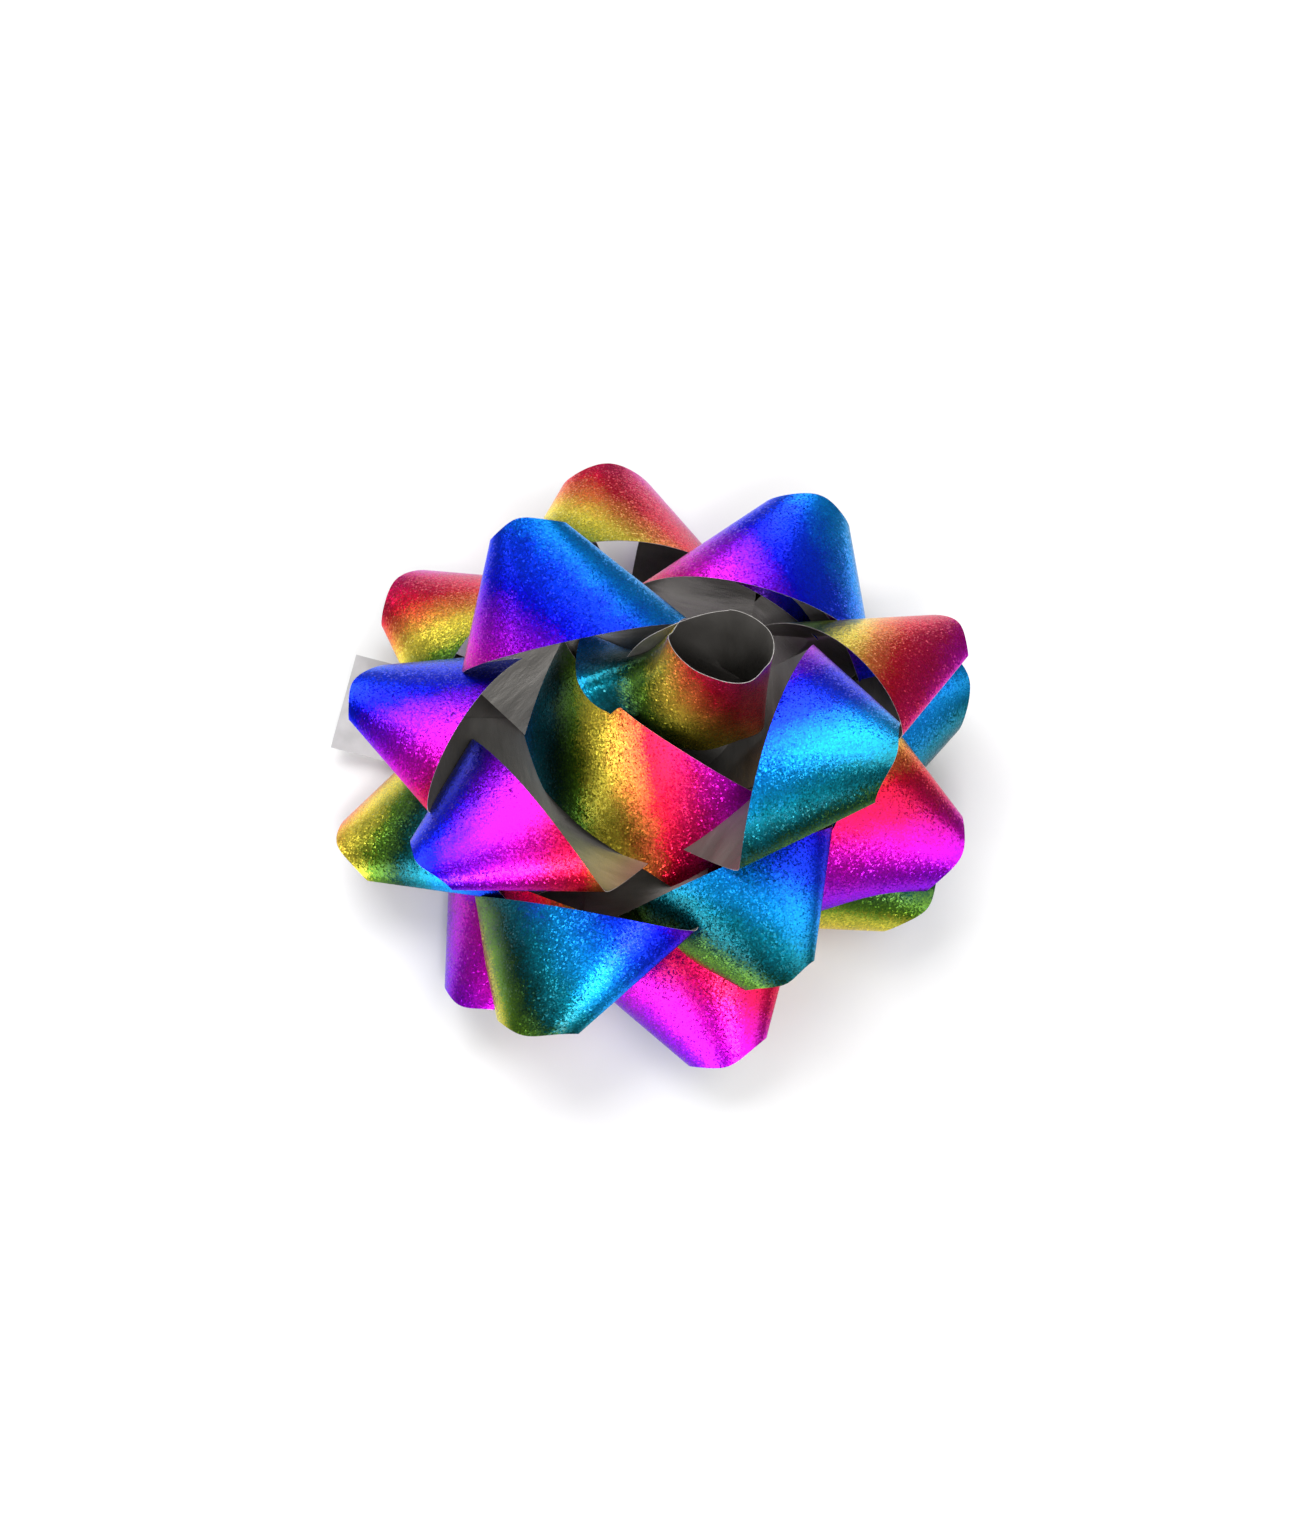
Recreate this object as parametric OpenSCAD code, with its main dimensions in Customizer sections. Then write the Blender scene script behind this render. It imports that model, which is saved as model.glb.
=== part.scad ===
// Looped ribbon gift bow on a peel-off adhesive base.
// One strip of foil ribbon is wound into pointed loops round a centre pin. Each loop is a
// strip wrapped on a flattened cone whose tip points outwards, so it bends without creases.

/* [Ribbon] */
// Width of the ribbon
ribbon_w = 19; // [18.5:0.5:19.5]
// Thickness of the ribbon
film_t = 0.15; // [0.1:0.05:0.2]
// Half width of a loop seen from above, as an angle at the tip of its cone
cone_half_width = 32; // [31:1:33]
// Height of a loop's top above its axis, as an angle at the tip
cone_rise = 18; // [17:1:19]
// Depth of a loop's underside below its axis, as an angle at the tip
cone_drop = 7; // [6:1:8]
// How far each loop is rolled, so that it lies over its neighbour like a shingle
shingle_roll = 18; // [17:1:19]

/* [Base] */
// Diameter of the card backing disc
disc_d = 34; // [30:1:36]
// Thickness of the card backing disc
disc_t = 0.6; // [0.5:0.1:0.7]
// Length of the foam adhesive pad, cut from tape as wide as the release paper
pad_length = 20; // [16:1:22]
// Thickness of the foam adhesive pad
pad_t = 0.8; // [0.7:0.1:0.9]
// Width of the release paper
liner_w = 16; // [15:0.5:17]
// Thickness of the release paper
liner_t = 0.1; // [0.1:0.05:0.2]
// How far the pull tab of the release paper reaches from the centre
liner_reach = 50; // [44:1:54]
// How far the other end of the release paper reaches from the centre
liner_tail = 12; // [11:1:16]
// How far the tape and its paper sit to one side of the pin
liner_offset = 5; // [3:0.5:5]
// Direction of the pull tab
liner_angle = 168; // [160:1:180]

/* [Centre pin] */
// Diameter of the pin's shank
pin_d = 1.8; // [1.6:0.1:2.2]
// Diameter of the pin's heads
pin_head_d = 5; // [4:0.5:5.5]
// Thickness of the pin's heads
pin_head_t = 0.5; // [0.4:0.1:0.6]

/* [Hidden] */
// Each loop: [direction it points, lift of its cone's axis, how much further it is rolled,
// distance from the cone's tip to the middle of the ribbon in ribbon widths, how far the
// folds are turned round the cone, how much higher it crosses the pin].
bottom_tier = [
    [ 18, -4,  2, 0.94,  5, 0], [ 57, -4, 0, 0.90,  0, 0],
    [ 98, -4,  0, 1.00,  5, 0], [144, -5, 0, 0.98,  0, 0],
    [197, -5,  0, 0.92,  0, 0], [239, -4, 0, 0.87, -5, 0],
    [286, -5,  0, 0.89,  0, 0], [325, -6, 4, 0.85, 15, 0]
];
middle_tier = [
    [ 28,  0, -50, 0.93, -20, 4.5], [ 67, 10, -8, 0.92, -10, 1],
    [114, 36, -34, 0.85,  10, 1.5], [159,  5, -2, 0.89,  19, 1.5],
    [214, 16,  -6, 0.84,   2, 0],   [251,  1,  2, 0.93,   0, 0.5],
    [292,  7,   0, 0.83,  10, 0],   [338, -2, -2, 0.90,   8, 0]
];
top_cone = [-20, 31, -14, 0.90, 0, 0];

// Height at which each tier's strips cross on the pin
bottom_z = 5.1;
middle_z = 7.5;
top_z = 12;

// The two uppermost loops stand on edge round the centre. Each station along the strip is
// [middle of the ribbon x, y, z, direction across the ribbon x, y, z].
crown_stations = [
    [2, -2.2, 14, -0.7, -0.7, 0], [8, -8.5, 13.5, -0.65, -0.75, -0.1],
    [12, -15, 15.5, -0.6, -0.6, -0.4], [7.4, -15, 20.5, -0.6, -0.55, -0.6],
    [0.4, -11.3, 22.7, -0.6, -0.45, -0.65], [-7, -6, 23, -0.5, -0.5, -0.7],
    [-13, 1, 21.5, -0.5, -0.4, -0.75], [-17.9, 10.4, 18, -0.5, -0.3, -0.8],
    [-15.5, 12.5, 14, -0.55, -0.5, -0.6], [-9, 8, 12.6, -0.6, -0.75, -0.1],
    [-2.4, 1.8, 13.5, -0.6, -0.8, 0]
];
centre_stations = [
    [1.8, 2.4, 15.5, 0.8, -0.6, 0], [3, 5.5, 24, 0.6, -0.3, -0.6],
    [6.5, 7.5, 33, 0.1, -0.2, -1], [11.4, 7.9, 34.6, 0, -0.2, -1],
    [15.2, 4.9, 34.8, -0.05, -0.2, -1], [15.6, 0.9, 34.8, -0.05, -0.15, -1],
    [12.6, -1.6, 34.9, -0.15, -0.05, -1], [7.6, -2.4, 35.2, -0.3, -0.1, -0.95],
    [2.6, -0.8, 35.6, -0.45, 0, -0.85], [-1.1, 2.5, 36, -0.5, 0.1, -0.85],
    [-2.6, 7.5, 34, -0.7, 0.2, -0.7], [-2, 12, 25.5, -0.75, 0.3, -0.6],
    [-3, 8.5, 17.5, -0.85, 0.1, -0.2], [-1.5, 2.6, 15, -0.85, -0.5, 0]
];

// Tails end this far from the pin's axis, against the stacked crossings
tail_gap = 2.9;
// How far a fold draws the strip's tip edge back, which rounds the end of the loop
fold_back = 2;
// Strips are pressed flatter near the pin: [share of height left, inner and outer radius]
press = [0.3, 3, 16];
// Half the height between the two tails of one loop where they cross; the roll sets which is on top
tail_rise = 0.15;
// Exponent that makes a loop's section slimmer than an ellipse at its folds
section_power = 1.2;
loop_steps = 64;
span_steps = 6;
cross_steps = 3;
// Angle step, in degrees, for measuring how the cone unrolls
unroll_step = 3;
unroll_reach = 240;

crossings_r = 3;
crossings_top = 16;
pin_clear = 0.1;
base_z = liner_t + pad_t;
seat_z = base_z + disc_t;

foil = [0.75, 0.1, 0.75];
card = [0.8, 0.8, 0.78];
foam = [0.9, 0.9, 0.88];
paper = [0.92, 0.92, 0.9];
clear = [0.7, 0.7, 0.72];

// ---- small vector helpers ----
function unit(v) = v / norm(v);
function turn_x(v, a) = [v.x, v.y * cos(a) - v.z * sin(a), v.y * sin(a) + v.z * cos(a)];
function turn_y(v, a) = [v.x * cos(a) + v.z * sin(a), v.y, v.z * cos(a) - v.x * sin(a)];
function turn_z(v, a) = [v.x * cos(a) - v.y * sin(a), v.x * sin(a) + v.y * cos(a), v.z];
function smooth(t) = let (c = max(0, min(1, t))) c * c * (3 - 2 * c);
function place(v, lift, roll, azimuth) = turn_z(turn_y(turn_x(v, roll), -lift), azimuth);

// ---- one loop: a straight strip wrapped on a flattened cone ----
// Ray of the cone at angle a round it, seen from its tip; a = 0 is the top.
function ray(a) = let (
    c = cos(a),
    rise = tan(c > 0 ? cone_rise : cone_drop)
) unit([-1, tan(cone_half_width) * sin(a), rise * sign(c) * pow(abs(c), section_power)]);

// Unrolled angle between two neighbouring rays
function gap_angle(a, b) = 2 * asin(min(1, norm(ray(a) - ray(b)) / 2));

// Table of [angle round the cone, unrolled angle], zero at the angle mid
function unrolled(mid) = let (
    first = mid - unroll_reach,
    raw = [for (a = first, s = 0; a <= mid + unroll_reach;
                s = s + gap_angle(a, a + unroll_step), a = a + unroll_step) [a, s]],
    zero = lookup(mid, raw)
) [for (p = raw) [p[0], p[1] - zero]];

function swapped(table) = [for (p = table) [p[1], p[0]]];

// Points of the loop, as rows along the strip, each row running from tip edge to mouth edge
function cone_grid(row, tier_z) = let (
    roll = shingle_roll + row[2],
    side = sign(roll),
    mid = row[4],
    z = tier_z + row[5],
    table = unrolled(mid),
    back = swapped(table),
    half = (lookup(mid + 180, table) - lookup(mid - 180, table)) / 2,
    cross_ray = ray(lookup(half, back)),
    reach = row[3] * ribbon_w,
    near = reach - ribbon_w / 2,
    far = reach + ribbon_w / 2,
    tip_distance = reach / cos(half),
    tail = reach * tan(half) - tail_gap,
    last = atan2(tail, near) * 0.999,
    from = lookup(-last, back),
    to = lookup(last, back)
) [for (i = [0 : loop_steps]) let (
    a = from + (to - from) * i / loop_steps,
    s = lookup(a, table),
    r_tip = near / cos(s),
    r_mouth = min(far / cos(s), tail / max(abs(sin(s)), 0.001))
) [for (j = [0 : cross_steps]) let (
    r = r_tip + (r_mouth - r_tip) * j / cross_steps,
    drawn = fold_back * pow(sin(a), 2) * (1 - j / cross_steps),
    p = place((r + drawn) * ray(a) - tip_distance * cross_ray, row[1], roll, row[0]),
    kept = press[0] + (1 - press[0]) * smooth((norm(p) - press[1]) / (press[2] - press[1])),
    rise = max(-1, min(1, r * sin(s) / (0.3 * tail)))
) [p.x, p.y, p.z * kept + z + side * tail_rise * rise]]];

// ---- a strip carried through stations by a smooth curve ----
function between(a, b, c, d, t) = 0.5 * (2 * b + (c - a) * t + (2 * a - 5 * b + 4 * c - d) * t * t
    + (3 * b - a - 3 * c + d) * t * t * t);
function station(list, i) = let (n = len(list) - 1)
    i < 0 ? 2 * list[0] - list[1] : i > n ? 2 * list[n] - list[n - 1] : list[i];
function along(list, q) = let (
    i = min(floor(q / span_steps), len(list) - 2),
    t = q / span_steps - i
) between(station(list, i - 1), list[i], list[i + 1], station(list, i + 2), t);
function part_of(list, k) = [for (p = list) [p[k], p[k + 1], p[k + 2]]];

function band_grid(list) = let (
    mids = part_of(list, 0),
    ways = [for (w = part_of(list, 3)) unit(w)],
    count = span_steps * (len(list) - 1)
) [for (q = [0 : count]) let (
    mid = along(mids, q),
    run = unit(along(mids, min(q + 1, count)) - along(mids, max(q - 1, 0))),
    way = along(ways, q),
    square = unit(way - (way * run) * run)
) [for (j = [0 : cross_steps]) mid + ribbon_w * (j / cross_steps - 0.5) * square]];

// ---- film of even thickness about a grid of points ----
function at(g, i, j) = g[max(0, min(i, len(g) - 1))][max(0, min(j, len(g[0]) - 1))];
function normal_at(g, i, j) =
    unit(cross(at(g, i + 1, j) - at(g, i - 1, j), at(g, i, j + 1) - at(g, i, j - 1)));
function face_points(g, side) = [for (i = [0 : len(g) - 1]) for (j = [0 : len(g[0]) - 1])
    g[i][j] + normal_at(g, i, j) * side * film_t / 2];
function grid_faces(n, m, start, flip) = [for (i = [0 : n - 2]) for (j = [0 : m - 2]) let (
    a = start + i * m + j,
    b = a + m
) each (flip ? [[a, b, b + 1], [a, b + 1, a + 1]] : [[a, b + 1, b], [a, a + 1, b + 1]])];
function rim(n, m) = concat(
    [for (i = [0 : n - 2]) i * m],
    [for (j = [0 : m - 2]) (n - 1) * m + j],
    [for (i = [n - 1 : -1 : 1]) i * m + m - 1],
    [for (j = [m - 1 : -1 : 1]) j]
);
function rim_faces(n, m) = let (edge = rim(n, m), count = len(edge), under = n * m)
    [for (k = [0 : count - 1]) let (a = edge[k], b = edge[(k + 1) % count])
        each [[a, b, b + under], [a, b + under, a + under]]];

module film(grid) {
    n = len(grid);
    m = len(grid[0]);
    color(foil)
        polyhedron(
            points = concat(face_points(grid, 1), face_points(grid, -1)),
            faces = concat(grid_faces(n, m, 0, false), grid_faces(n, m, n * m, true),
                rim_faces(n, m)),
            convexity = 10
        );
}

module bottom_loop(i) {
    film(cone_grid(bottom_tier[i], bottom_z));
}

module middle_loop(i) {
    film(cone_grid(middle_tier[i], middle_z));
}

module top_loop_1() {
    film(cone_grid(top_cone, top_z));
}

module top_loop_2() {
    film(band_grid(crown_stations));
}

module centre_loop() {
    film(band_grid(centre_stations));
}

// The strip's crossings, pressed together in a stack that the pin goes through
module ribbon_crossings() {
    color(foil)
        difference() {
            translate([0, 0, seat_z])
                cylinder(h = crossings_top - seat_z, r = crossings_r, $fn = 48);
            translate([0, 0, seat_z - 1])
                cylinder(h = crossings_top - seat_z + 2, d = pin_d + 2 * pin_clear, $fn = 32);
        }
}

// Clear pin with a flat head at each end
module centre_pin() {
    color(clear) {
        translate([0, 0, base_z - pin_head_t])
            cylinder(h = pin_head_t, d = pin_head_d, $fn = 48);
        translate([0, 0, base_z - pin_head_t])
            cylinder(h = crossings_top - base_z + 2 * pin_head_t, d = pin_d, $fn = 32);
        translate([0, 0, crossings_top])
            cylinder(h = pin_head_t, d = pin_head_d, $fn = 48);
    }
}

// Round card that the strips sit on
module backing_disc() {
    color(card)
        difference() {
            translate([0, 0, base_z])
                cylinder(h = disc_t, d = disc_d, $fn = 96);
            translate([0, 0, base_z - 1])
                cylinder(h = disc_t + 2, d = pin_d + 2 * pin_clear, $fn = 32);
        }
}

// Flat strip lying along the direction of the pull tab, from its tail to its reach
module along_tab(tail, reach, thickness) {
    rotate([0, 0, liner_angle])
        translate([-tail, -liner_offset - liner_w / 2])
            cube([tail + reach, liner_w, thickness]);
}

// Double-sided foam tape, with a pocket for the lower head of the pin
module adhesive_pad() {
    color(foam)
        difference() {
            translate([0, 0, liner_t])
                along_tab(pad_length / 2, pad_length / 2, pad_t);
            translate([0, 0, base_z - pin_head_t])
                cylinder(h = pin_head_t + 1, d = pin_head_d + 2 * pin_clear, $fn = 48);
        }
}

// Strip of release paper under the tape, with one long end to pull
module release_liner() {
    color(paper)
        along_tab(liner_tail, liner_reach, liner_t);
}

bottom_loop(0);  // bottom_loop_1
bottom_loop(1);  // bottom_loop_2
bottom_loop(2);  // bottom_loop_3
bottom_loop(3);  // bottom_loop_4
bottom_loop(4);  // bottom_loop_5
bottom_loop(5);  // bottom_loop_6
bottom_loop(6);  // bottom_loop_7
bottom_loop(7);  // bottom_loop_8
middle_loop(0);  // middle_loop_1
middle_loop(1);  // middle_loop_2
middle_loop(2);  // middle_loop_3
middle_loop(3);  // middle_loop_4
middle_loop(4);  // middle_loop_5
middle_loop(5);  // middle_loop_6
middle_loop(6);  // middle_loop_7
middle_loop(7);  // middle_loop_8
top_loop_1();
top_loop_2();
centre_loop();
ribbon_crossings();
centre_pin();
backing_disc();
adhesive_pad();
release_liner();
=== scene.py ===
"""Looped foil gift bow on an adhesive base: looks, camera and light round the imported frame.

The foil loops and the release paper are drawn again here as finer film, on the same surfaces as the
CAD solids they replace. The crossings, pin, disc and tape keep their CAD meshes and get materials.
"""
import math

import bpy
import numpy as np
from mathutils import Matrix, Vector


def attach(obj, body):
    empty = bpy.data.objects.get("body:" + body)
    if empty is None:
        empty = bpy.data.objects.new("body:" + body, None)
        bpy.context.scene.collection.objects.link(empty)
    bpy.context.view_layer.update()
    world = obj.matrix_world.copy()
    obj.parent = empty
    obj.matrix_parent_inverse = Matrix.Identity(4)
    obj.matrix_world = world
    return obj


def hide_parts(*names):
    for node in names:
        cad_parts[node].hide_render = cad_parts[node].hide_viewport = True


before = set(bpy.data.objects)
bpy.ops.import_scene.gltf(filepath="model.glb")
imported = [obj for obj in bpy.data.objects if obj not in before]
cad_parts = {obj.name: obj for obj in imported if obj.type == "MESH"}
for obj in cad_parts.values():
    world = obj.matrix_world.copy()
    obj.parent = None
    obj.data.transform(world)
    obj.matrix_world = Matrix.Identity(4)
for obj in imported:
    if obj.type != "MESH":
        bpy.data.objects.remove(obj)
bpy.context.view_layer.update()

MM = 0.001
RIBBON_W = 19.0
FILM_T = 0.08  # drawn thickness, nearer the real film's than the CAD's
BODY = "bow"

# ---------------------------------------------------------------- loop shapes
# These repeat part.scad's rules, in millimetres and degrees.
CONE_HALF_WIDTH, CONE_RISE, CONE_DROP = 32.0, 18.0, 7.0  # the cone's half angles: sideways, up, down
SECTION_POWER = 1.2  # roundness of its section
SHINGLE_ROLL = 18.0  # roll of every loop, so that each one overlaps the next
FOLD_BACK = 2.0  # how far the tip edge is drawn back at the two folds
TAIL_GAP = 2.9  # from a loop's inner end to the pin's axis
TAIL_RISE = 0.15  # one inner end lies this much higher than the loop's middle, the other lower
TAIL_RISE_SHARE = 0.3  # share of the half length over which that grows
PRESS_LEFT, PRESS_FROM, PRESS_TO = 0.3, 3.0, 16.0  # height kept at the pin, and where it comes back
BOTTOM_Z, MIDDLE_Z, TOP_Z = 5.1, 7.5, 12.0  # heights of the tiers at the pin
UNROLL_RANGE, UNROLL_STEP = 240.0, 3.0  # angles round the cone at which it is unrolled
SHORT_OF_END = 0.999  # the tip edge stops just short of the strip's corner
LEAST_SINE = 0.001

# Divisions along and across a cone loop, and along each span between two stations.
ALONG, ACROSS, SPAN_STEPS = 128, 12, 14

# azimuth, lift, more roll, reach in ribbon widths, turn of the folds, more height, place in the rainbow
BOTTOM = [
    (18, -4, 2, 0.94, 5, 0, 0.32), (57, -4, 0, 0.90, 0, 0, 0.30),
    (98, -4, 0, 1.00, 5, 0, 0.79), (144, -5, 0, 0.98, 0, 0, 0.82),
    (197, -5, 0, 0.92, 0, 0, 0.61), (239, -4, 0, 0.87, -5, 0, 0.98),
    (286, -5, 0, 0.89, 0, 0, 0.95), (325, -6, 4, 0.85, 15, 0, 0.48),
]
MIDDLE = [
    (28, 0, -50, 0.93, -20, 4.5, 0.84), (67, 10, -8, 0.92, -10, 1, 0.28),
    (114, 36, -34, 0.85, 10, 1.5, 0.22), (159, 5, -2, 0.89, 19, 1.5, 0.15),
    (214, 16, -6, 0.84, 2, 0, 0.11), (251, 1, 2, 0.93, 0, 0.5, 0.49),
    (292, 7, 0, 0.83, 10, 0, 0.43), (338, -2, -2, 0.90, 8, 0, 0.93),
]
TOP = (-20, 31, -14, 0.90, 0, 0, 0.39)

# Stations of the two loops that aren't cones: the middle of the ribbon, then the way across it.
CROWN_PHASE, CENTRE_PHASE = 0.69, 0.77
CROWN = [
    (2, -2.2, 14, -0.7, -0.7, 0), (8, -8.5, 13.5, -0.65, -0.75, -0.1),
    (12, -15, 15.5, -0.6, -0.6, -0.4), (7.4, -15, 20.5, -0.6, -0.55, -0.6),
    (0.4, -11.3, 22.7, -0.6, -0.45, -0.65), (-7, -6, 23, -0.5, -0.5, -0.7),
    (-13, 1, 21.5, -0.5, -0.4, -0.75), (-17.9, 10.4, 18, -0.5, -0.3, -0.8),
    (-15.5, 12.5, 14, -0.55, -0.5, -0.6), (-9, 8, 12.6, -0.6, -0.75, -0.1),
    (-2.4, 1.8, 13.5, -0.6, -0.8, 0),
]
CENTRE = [
    (1.8, 2.4, 15.5, 0.8, -0.6, 0), (3, 5.5, 24, 0.6, -0.3, -0.6),
    (6.5, 7.5, 33, 0.1, -0.2, -1), (11.4, 7.9, 34.6, 0, -0.2, -1),
    (15.2, 4.9, 34.8, -0.05, -0.2, -1), (15.6, 0.9, 34.8, -0.05, -0.15, -1),
    (12.6, -1.6, 34.9, -0.15, -0.05, -1), (7.6, -2.4, 35.2, -0.3, -0.1, -0.95),
    (2.6, -0.8, 35.6, -0.45, 0, -0.85), (-1.1, 2.5, 36, -0.5, 0.1, -0.85),
    (-2.6, 7.5, 34, -0.7, 0.2, -0.7), (-2, 12, 25.5, -0.75, 0.3, -0.6),
    (-3, 8.5, 17.5, -0.85, 0.1, -0.2), (-1.5, 2.6, 15, -0.85, -0.5, 0),
]


def unit(v):
    """Vectors scaled to length one."""
    return v / np.linalg.norm(v, axis=-1, keepdims=True)


def turn(axis, degrees):
    """Rotation matrix about one axis."""
    c, s = math.cos(math.radians(degrees)), math.sin(math.radians(degrees))
    rows = {
        "x": [[1, 0, 0], [0, c, -s], [0, s, c]],
        "y": [[c, 0, s], [0, 1, 0], [-s, 0, c]],
        "z": [[c, -s, 0], [s, c, 0], [0, 0, 1]],
    }
    return np.array(rows[axis])


def ray(a):
    """Ways along the flattened cone, from its tip; a goes round the cone in degrees."""
    a = np.radians(np.asarray(a, float))
    c = np.cos(a)
    rise = np.where(c > 0, math.tan(math.radians(CONE_RISE)), math.tan(math.radians(CONE_DROP)))
    side = math.tan(math.radians(CONE_HALF_WIDTH)) * np.sin(a)
    return unit(np.stack([-np.ones_like(c), side, rise * np.sign(c) * np.abs(c) ** SECTION_POWER], -1))


def cone_loop(row, tier_z, n_along, n_across):
    """Points of a loop wound on a flattened cone, with the ribbon's own coordinates in mm."""
    azimuth, lift, more_roll, reach_w, mid, more_z = row[:6]
    roll = SHINGLE_ROLL + more_roll

    # The cone unrolled flat: s is the flat angle that belongs to each angle a round the cone. The strip
    # crosses itself where s reaches half a turn of the cone either way.
    a = mid + np.arange(-UNROLL_RANGE, UNROLL_RANGE + UNROLL_STEP / 2, UNROLL_STEP)
    g = ray(a)
    step = 2 * np.arcsin(np.minimum(1, np.linalg.norm(np.diff(g, axis=0), axis=1) / 2))
    s = np.concatenate([[0], np.cumsum(step)])
    s -= np.interp(mid, a, s)
    half = (np.interp(mid + 180, a, s) - np.interp(mid - 180, a, s)) / 2
    cross = ray(np.interp(half, s, a))

    # The straight strip on the flat cone: a tip edge at near, a mouth edge at far, ends cut square.
    reach = reach_w * RIBBON_W
    near, far = reach - RIBBON_W / 2, reach + RIBBON_W / 2
    tip = reach / math.cos(half)
    tail = reach * math.tan(half) - TAIL_GAP
    last = math.atan2(tail, near) * SHORT_OF_END
    angles = np.linspace(np.interp(-last, s, a), np.interp(last, s, a), n_along + 1)
    unrolled = np.interp(angles, a, s)
    r_tip = near / np.cos(unrolled)
    end_cut = tail / np.maximum(np.abs(np.sin(unrolled)), LEAST_SINE)
    r_mouth = np.minimum(far / np.cos(unrolled), end_cut)
    t = np.linspace(0, 1, n_across + 1)
    r = r_tip[:, None] * (1 - t) + r_mouth[:, None] * t
    back = FOLD_BACK * np.sin(np.radians(angles))[:, None] ** 2 * (1 - t)

    # Rolled up again, turned to its place, pressed flat toward the pin, and set at its height.
    p = (r + back)[:, :, None] * ray(angles)[:, None, :] - tip * cross
    p = p @ (turn("z", azimuth) @ turn("y", -lift) @ turn("x", roll)).T
    u = np.clip((np.linalg.norm(p, axis=-1) - PRESS_FROM) / (PRESS_TO - PRESS_FROM), 0, 1)
    p[..., 2] *= PRESS_LEFT + (1 - PRESS_LEFT) * u * u * (3 - 2 * u)
    along = r * np.sin(unrolled)[:, None]
    tail_lift = TAIL_RISE * np.clip(along / (TAIL_RISE_SHARE * tail), -1, 1)
    p[..., 2] += tier_z + more_z + np.sign(roll) * tail_lift
    across = r * np.cos(unrolled)[:, None] - reach
    return p, along, across


def station_loop(stations, per_span, n_across):
    """Points of a loop carried through stations by a smooth curve."""
    rows = np.array(stations, float)
    rows[:, 3:] = unit(rows[:, 3:])
    padded = np.concatenate([[2 * rows[0] - rows[1]], rows, [2 * rows[-1] - rows[-2]]])
    q = np.linspace(0, len(rows) - 1, per_span * (len(rows) - 1) + 1)
    i = np.minimum(q.astype(int), len(rows) - 2)
    t = (q - i)[:, None]
    a, b, c, d = (padded[i + k] for k in range(4))  # Catmull-Rom
    path = 0.5 * (2 * b + (c - a) * t + (2 * a - 5 * b + 4 * c - d) * t ** 2
                  + (3 * b - a - 3 * c + d) * t ** 3)
    mids, ways = path[:, :3], path[:, 3:]
    run = unit(np.gradient(mids, axis=0))
    ways = unit(ways - (ways * run).sum(1, keepdims=True) * run)
    across = np.linspace(-0.5, 0.5, n_across + 1) * RIBBON_W
    p = mids[:, None, :] + across[None, :, None] * ways[:, None, :]
    along = np.concatenate([[0], np.cumsum(np.linalg.norm(np.diff(mids, axis=0), axis=1))])
    along -= along[-1] / 2
    return p, np.repeat(along[:, None], n_across + 1, 1), np.repeat(across[None, :], len(along), 0)


# ---------------------------------------------------------------- film meshes
BAND_ANGLE = math.radians(40)  # slant of the rainbow bands
BAND_LENGTH = 60.0  # one whole rainbow, in mm
FRONT, BACK, EDGE = 0, 1, 2  # slots of a film piece's three materials


def film_object(name, points, along, across, phase, materials, thickness=FILM_T):
    """A thin closed strip: printed face outwards, grey back inwards, pale cut edges.

    The "strip" attribute holds the way along and across the ribbon, and the place in the rainbow.
    """
    n, m = points.shape[:2]
    normal = unit(np.cross(np.gradient(points, axis=0), np.gradient(points, axis=1)))
    top = points + normal * thickness / 2
    under = points - normal * thickness / 2
    verts = np.concatenate([top.reshape(-1, 3), under.reshape(-1, 3)]) * MM
    count = n * m
    index = np.arange(count).reshape(n, m)
    quads = [index[:-1, :-1], index[1:, :-1], index[1:, 1:], index[:-1, 1:]]
    up = np.stack([q.ravel() for q in quads], 1)
    down = up[:, ::-1] + count
    rim = np.concatenate([index[:, 0], index[-1, 1:], index[-2::-1, -1], index[0, -2:0:-1]])
    after = np.roll(rim, -1)
    side = np.stack([after, rim, rim + count, after + count], 1)
    faces = np.concatenate([up, down, side])
    kinds = np.concatenate([np.full(len(up), FRONT), np.full(len(down), BACK), np.full(len(side), EDGE)])
    mesh = bpy.data.meshes.new(name)
    mesh.from_pydata(verts.tolist(), [], faces.tolist())
    for material in materials:
        mesh.materials.append(material)
    mesh.polygons.foreach_set("material_index", kinds.astype(np.int32))
    mesh.polygons.foreach_set("use_smooth", kinds != EDGE)
    place = phase - (along * math.cos(BAND_ANGLE) + across * math.sin(BAND_ANGLE)) / BAND_LENGTH
    strip = np.stack([along, across, place], -1).reshape(-1, 3)
    layer = mesh.attributes.new("strip", "FLOAT_VECTOR", "POINT")
    layer.data.foreach_set("vector", np.concatenate([strip, strip]).astype(np.float32).ravel())

    # Both rims are sharp, so that the faces stay smooth up to the cut.
    edges = mesh.attributes.new("sharp_edge", "BOOLEAN", "EDGE")
    rim_edges = np.stack([rim, after], 1)
    pairs = {tuple(sorted(e)) for e in np.concatenate([rim_edges, rim_edges + count]).tolist()}
    keys = np.empty(len(mesh.edges) * 2, np.int32)
    mesh.edges.foreach_get("vertices", keys)
    edges.data.foreach_set("value", [tuple(sorted(k)) in pairs for k in keys.reshape(-1, 2).tolist()])
    mesh.validate()
    obj = bpy.data.objects.new(name, mesh)
    bpy.context.scene.collection.objects.link(obj)
    return obj


# ---------------------------------------------------------------- materials
FINE = 0.0002  # relief of the fine surfaces, in metres


def linear(rgb):
    """A colour given in 0-255 as linear RGBA."""
    return tuple((c / 255) ** 2.2 for c in rgb) + (1.0,)


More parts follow.
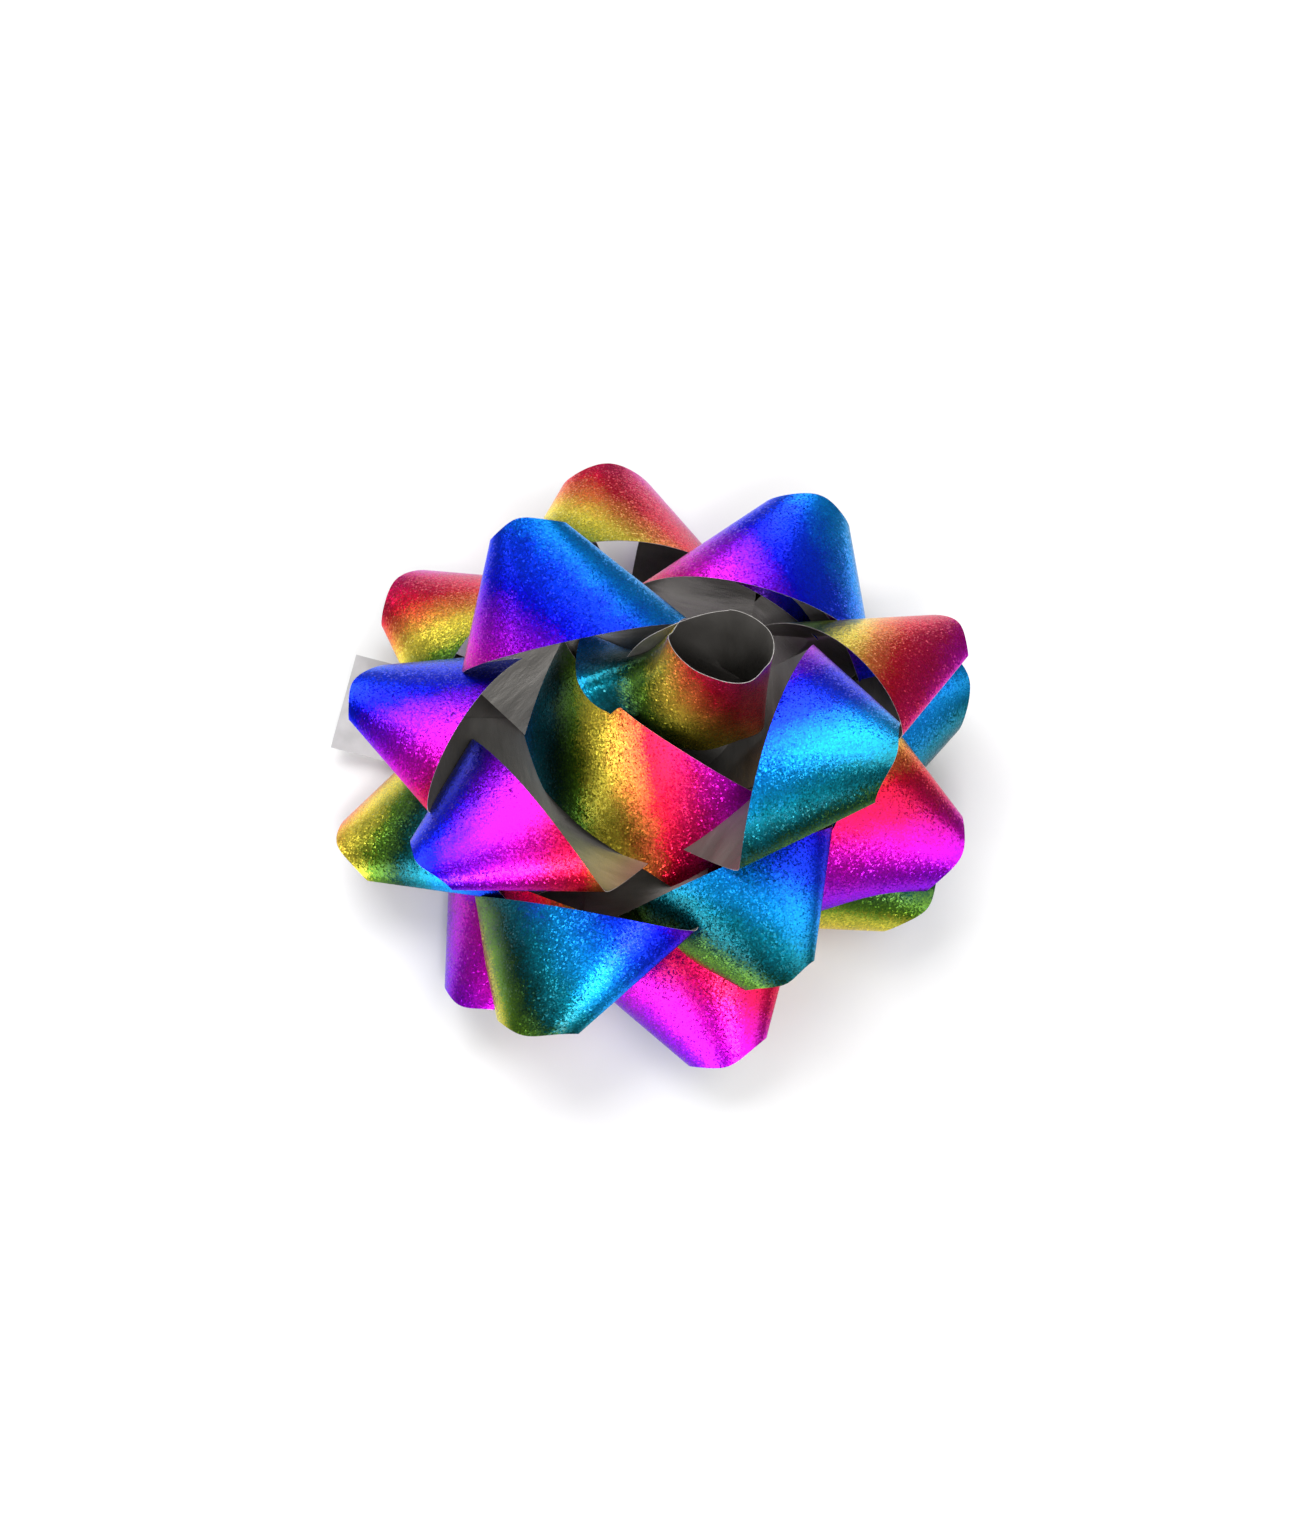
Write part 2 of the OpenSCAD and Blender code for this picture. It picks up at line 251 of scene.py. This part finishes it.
class Nodes:
    """Short hand for building a shader tree round one Principled BSDF."""

    def __init__(self, name):
        self.material = bpy.data.materials.new(name)
        self.material.use_nodes = True
        self.tree = self.material.node_tree
        self.shader = self.tree.nodes["Principled BSDF"]

    def add(self, kind, inputs=None, **settings):
        node = self.tree.nodes.new(kind)
        for key, value in settings.items():
            setattr(node, key, value)
        for key, value in (inputs or {}).items():
            self.put(node.inputs[key], value)
        return node

    def put(self, socket, value):
        if isinstance(value, bpy.types.NodeSocket):
            self.tree.links.new(value, socket)
        else:
            socket.default_value = value

    def math(self, operation, *values):
        node = self.add("ShaderNodeMath", operation=operation)
        for socket, value in zip(node.inputs, values):
            self.put(socket, value)
        return node.outputs[0]

    def spread(self, value, width, middle=0.0):
        """A 0-1 value spread over a range of the given width and middle."""
        return self.math("MULTIPLY_ADD", value, width, middle - width / 2)

    def vector(self, operation, *values, scale=None):
        node = self.add("ShaderNodeVectorMath", operation=operation)
        for socket, value in zip(node.inputs, values):
            self.put(socket, value)
        if scale is not None:
            self.put(node.inputs["Scale"], scale)
        return node.outputs[0]

    def noise(self, place, scale, detail):
        node = self.add("ShaderNodeTexNoise", {"Vector": place, "Scale": scale, "Detail": detail})
        return node.outputs[0]

    def object_mm(self, stretch=(1.0, 1.0, 1.0)):
        """The object's own coordinates in millimetres, each axis stretched by a factor."""
        spot = self.add("ShaderNodeTexCoord").outputs["Object"]
        return self.vector("MULTIPLY", spot, tuple(f / MM for f in stretch))

    def ramp(self, value, stops):
        node = self.add("ShaderNodeValToRGB")
        points = node.color_ramp.elements
        while len(points) < len(stops):
            points.new(0.5)
        for point, (where, rgb) in zip(points, stops):
            point.position = where
            point.color = linear(rgb)
        self.put(node.inputs[0], value)
        return node.outputs[0]

    def two_tone(self, noise, dark, light):
        """A colour between dark and light, spread over the middle of the noise."""
        return self.ramp(noise, [(0.3, dark), (0.7, light)])

    def bump(self, height, strength, distance):
        node = self.add("ShaderNodeBump", {"Height": height, "Strength": strength, "Distance": distance})
        return node.outputs[0]

    def finish(self, **inputs):
        """Sets the shader's sockets, base_color for "Base Color" and so on, and gives the material."""
        for key, value in inputs.items():
            self.put(self.shader.inputs[key.replace("_", " ").title()], value)
        return self.material


GRAINS_PER_MM = 4.6
FLECK_SHARE = 0.25
GRAIN_TILT, FLECK_TILT = 0.16, 0.36
# One whole rainbow: places in the print, and the colours there.
RAINBOW = [
    (0.00, (200, 8, 190)), (0.09, (140, 6, 215)), (0.18, (12, 2, 225)), (0.29, (0, 60, 232)),
    (0.39, (10, 145, 235)), (0.47, (0, 118, 140)), (0.54, (6, 58, 48)), (0.61, (88, 128, 34)),
    (0.69, (248, 222, 75)), (0.76, (232, 125, 58)), (0.82, (215, 18, 48)), (0.91, (200, 12, 90)),
    (1.00, (200, 8, 190)),
]


def strip_place(n):
    """The film's own coordinates in millimetres, and its place in the rainbow."""
    strip = n.add("ShaderNodeAttribute", attribute_name="strip").outputs["Vector"]
    parts = n.add("ShaderNodeSeparateXYZ", {0: strip})
    flat = n.add("ShaderNodeCombineXYZ", {0: parts.outputs[0], 1: parts.outputs[1]}).outputs[0]
    return flat, parts.outputs[2]


def foil_front():
    """Metallised film: diagonal rainbow print over an embossed grain that sparkles, with painted glints
    and shade in the grains' colour.
    """
    n = Nodes("foil_front")
    flat, place = strip_place(n)
    grain = n.add("ShaderNodeTexVoronoi", {"Vector": flat, "Scale": GRAINS_PER_MM}, feature="F1")
    grain = grain.outputs["Color"]
    cell = n.add("ShaderNodeSeparateColor", {0: grain})
    jitter = n.spread(cell.outputs[2], 0.030)
    drift = n.spread(n.noise(flat, 0.25, 2.0), 0.05)
    place = n.math("FRACT", n.math("ADD", place, n.math("ADD", jitter, drift)))
    # Painted glints and shade: each grain's print colour is scaled between 0.72 and 1.22, standing in
    # for grains that catch the light.
    painted_glint_and_shade = n.spread(cell.outputs[0], 0.5, 0.97)
    print_with_painted_glints = n.vector("SCALE", n.ramp(place, RAINBOW), scale=painted_glint_and_shade)
    # Every grain tilts a little, and one in four tilts further and flashes.
    fleck = n.math("GREATER_THAN", cell.outputs[1], 1 - FLECK_SHARE)
    reach = n.math("MULTIPLY_ADD", fleck, FLECK_TILT - GRAIN_TILT, GRAIN_TILT)
    tilt = n.vector("SCALE", n.vector("SUBTRACT", grain, (0.5, 0.5, 0.5)), scale=reach)
    normal = n.add("ShaderNodeNewGeometry").outputs["Normal"]
    normal = n.vector("NORMALIZE", n.vector("ADD", normal, tilt))
    return n.finish(base_color=print_with_painted_glints, normal=normal, metallic=1.0, roughness=0.34,
                    coat_weight=0.20, coat_roughness=0.22, coat_normal=normal)


def foil_back():
    """Unprinted side: satin warm grey with faint creases across the strip; the grey is painted darker in
    the crease hollows and lighter on the ridges, as painted shade and highlight.
    """
    n = Nodes("foil_back")
    flat, _ = strip_place(n)
    crease_and_painted_shade = n.noise(n.vector("MULTIPLY", flat, (1.0, 0.25, 1.0)), 0.22, 4.0)
    # Painted shade and highlight: the film's own grey is darker where the creases sink and lighter where
    # they rise.
    colour = n.two_tone(crease_and_painted_shade, (92, 89, 86), (124, 121, 117))
    height = n.math("MULTIPLY_ADD", n.noise(flat, 5.0, 2.0), 0.06, crease_and_painted_shade)
    return n.finish(base_color=colour, normal=n.bump(height, 0.35, 0.001), metallic=0.6, roughness=0.42)


def cut_edge():
    """The pale line where the film is cut."""
    n = Nodes("cut_edge")
    flat, _ = strip_place(n)
    colour = n.two_tone(n.noise(flat, 1.5, 2.0), (120, 116, 114), (190, 186, 182))
    return n.finish(base_color=colour, roughness=0.5)


def mottled(name, dark, light, scale, roughness, bump=0.2, fibre=(1.0, 1.0, 1.0), detail=6.0):
    """A material whose colour and surface vary with noise; scale is in cells to the millimetre."""
    n = Nodes(name)
    noise = n.noise(n.object_mm(fibre), scale, detail)
    colour = n.two_tone(noise, dark, light)
    return n.finish(base_color=colour, normal=n.bump(noise, bump, FINE), roughness=roughness)


def foam():
    """Closed-cell foam with small open pores, painted darker inside as shade."""
    n = Nodes("tape_foam")
    cells = n.add("ShaderNodeTexVoronoi", {"Vector": n.object_mm(), "Scale": 3.0}, feature="F1")
    depth_and_painted_shade = cells.outputs["Distance"]
    # Painted shade: each pore is painted darker towards its middle, where it is deepest.
    colour = n.ramp(depth_and_painted_shade, [(0.0, (205, 204, 198)), (0.5, (242, 241, 236))])
    return n.finish(base_color=colour, normal=n.bump(depth_and_painted_shade, 0.5, FINE), roughness=0.85)


def clear_plastic():
    """The pin: clear moulded plastic with faint flow marks."""
    n = Nodes("pin_plastic")
    flow = n.noise(n.object_mm((1.0, 1.0, 0.3)), 0.8, 3.0)
    colour = n.two_tone(flow, (205, 208, 210), (228, 230, 232))
    return n.finish(base_color=colour, normal=n.bump(flow, 0.15, FINE), roughness=0.18,
                    transmission_weight=0.5)


def pressed_strips():
    """The stack of crossings seen from the side: thin layers of film."""
    n = Nodes("pressed_strips")
    layer = n.noise(n.object_mm((0.06, 0.06, 1.0)), 2.6, 3.0)
    colour = n.ramp(layer, [(0.3, (46, 44, 44)), (0.5, (96, 40, 110)), (0.7, (120, 116, 112))])
    return n.finish(base_color=colour, normal=n.bump(layer, 0.6, 0.0003), metallic=0.5, roughness=0.4)


FILM = [foil_front(), foil_back(), cut_edge()]
RELEASE_PAPER = mottled("release_paper", (170, 169, 171), (186, 185, 187), 0.35, 0.42,
                        bump=0.12, detail=8.0)
CARD = mottled("card_fibre", (196, 194, 187), (222, 220, 213), 2.0, 0.82, fibre=(1.0, 0.4, 1.0))
CAD_LOOKS = {
    "ribbon_crossings": pressed_strips(),
    "centre_pin": clear_plastic(),
    "backing_disc": CARD,
    "adhesive_pad": foam(),
}
for node, material in CAD_LOOKS.items():
    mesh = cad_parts[node].data
    mesh.materials.clear()
    mesh.materials.append(material)


# ---------------------------------------------------------------- foil loops
def make_loops():
    """Each loop's CAD node, its points and ribbon coordinates, and its place in the rainbow."""
    for tier, rows, z in (("bottom", BOTTOM, BOTTOM_Z), ("middle", MIDDLE, MIDDLE_Z)):
        for i, row in enumerate(rows):
            yield f"{tier}_loop_{i + 1}", cone_loop(row, z, ALONG, ACROSS), row[6]
    yield "top_loop_1", cone_loop(TOP, TOP_Z, ALONG, ACROSS), TOP[6]
    yield "top_loop_2", station_loop(CROWN, SPAN_STEPS, ACROSS), CROWN_PHASE
    yield "centre_loop", station_loop(CENTRE, SPAN_STEPS, ACROSS), CENTRE_PHASE


for node, (points, along, across), phase in make_loops():
    piece = film_object("foil_" + node, points, along, across, phase, FILM)
    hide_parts(node)
    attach(piece, BODY)

# ---------------------------------------------------------------- release paper
LINER_W, LINER_T = 16.0, 0.1
LINER_TAIL, LINER_REACH = 12.0, 50.0
LINER_OFFSET, LINER_ANGLE = 5.0, 168.0
CURL_FROM, CURL_HEIGHT, CURL_POWER = 16.0, 3.0, 1.8
CURL_DRAW = 0.12  # how far the lifted end is drawn back
LINER_ALONG, LINER_ACROSS = 60, 12


def release_paper():
    """The paper under the tape; its long end has lifted a little from lying rolled up."""
    run = np.linspace(-LINER_TAIL, LINER_REACH, LINER_ALONG + 1)
    side = np.linspace(-0.5, 0.5, LINER_ACROSS + 1) * LINER_W - LINER_OFFSET
    u = np.clip((run - CURL_FROM) / (LINER_REACH - CURL_FROM), 0, 1)
    lift = LINER_T / 2 + CURL_HEIGHT * u ** CURL_POWER
    run = run - CURL_DRAW * u ** 2
    along, across = np.meshgrid(run, side, indexing="ij")
    p = np.stack([along, across, np.repeat(lift[:, None], LINER_ACROSS + 1, 1)], -1)
    p = p @ turn("z", LINER_ANGLE).T
    return film_object("release_paper_sheet", p, along, across, 0.0, [RELEASE_PAPER] * 3, LINER_T)


paper_sheet = release_paper()
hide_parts("release_liner")
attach(paper_sheet, "release_paper")

# ---------------------------------------------------------------- floor
scene = bpy.context.scene
FLOOR_HALF = 3.0

floor_mesh = bpy.data.meshes.new("floor")
corners = [(x * FLOOR_HALF, y * FLOOR_HALF, 0) for x, y in ((-1, -1), (1, -1), (1, 1), (-1, 1))]
floor_mesh.from_pydata(corners, [], [(0, 1, 2, 3)])
floor_mesh.materials.append(mottled("floor", (228, 228, 228), (232, 232, 232), 0.05, 0.8, bump=0.0))
floor = bpy.data.objects.new("floor", floor_mesh)
scene.collection.objects.link(floor)

# ---------------------------------------------------------------- light
LIGHT_TARGET = Vector((0, 0, 0.02))
WORLD_STRENGTH = 0.22


def area_light(name, place, size, power):
    """A square lamp that faces the bow."""
    data = bpy.data.lights.new(name, "AREA")
    data.shape = "SQUARE"
    data.size = size
    data.energy = power
    light = bpy.data.objects.new(name, data)
    light.location = place
    light.rotation_euler = (LIGHT_TARGET - Vector(place)).to_track_quat("-Z", "Y").to_euler()
    scene.collection.objects.link(light)


area_light("key", (0.06, -0.62, 0.80), 0.26, 4.0)
area_light("softbox_right", (0.50, -0.20, 0.72), 0.8, 4.0)
area_light("softbox_back", (-0.20, 0.45, 0.72), 0.8, 7.5)
area_light("softbox_front", (-0.70, -0.60, 0.36), 0.6, 5.2)

world = bpy.data.worlds.new("studio")
world.use_nodes = True
background = world.node_tree.nodes["Background"]
background.inputs["Color"].default_value = (1, 1, 1, 1)
background.inputs["Strength"].default_value = WORLD_STRENGTH
scene.world = world
scene.view_settings.view_transform = "Standard"

# ---------------------------------------------------------------- camera
ELEVATION = math.radians(66.0)
DISTANCE = 0.55

camera_data = bpy.data.cameras.new("camera")
camera_data.sensor_fit = "VERTICAL"
camera_data.sensor_height = 36
camera_data.lens = 85
camera_data.shift_y = 0.021
camera_data.clip_start = 0.01
camera = bpy.data.objects.new("camera", camera_data)
camera.location = (0, -DISTANCE * math.cos(ELEVATION), DISTANCE * math.sin(ELEVATION))
camera.rotation_euler = (math.pi / 2 - ELEVATION, 0, 0)
scene.collection.objects.link(camera)
scene.camera = camera
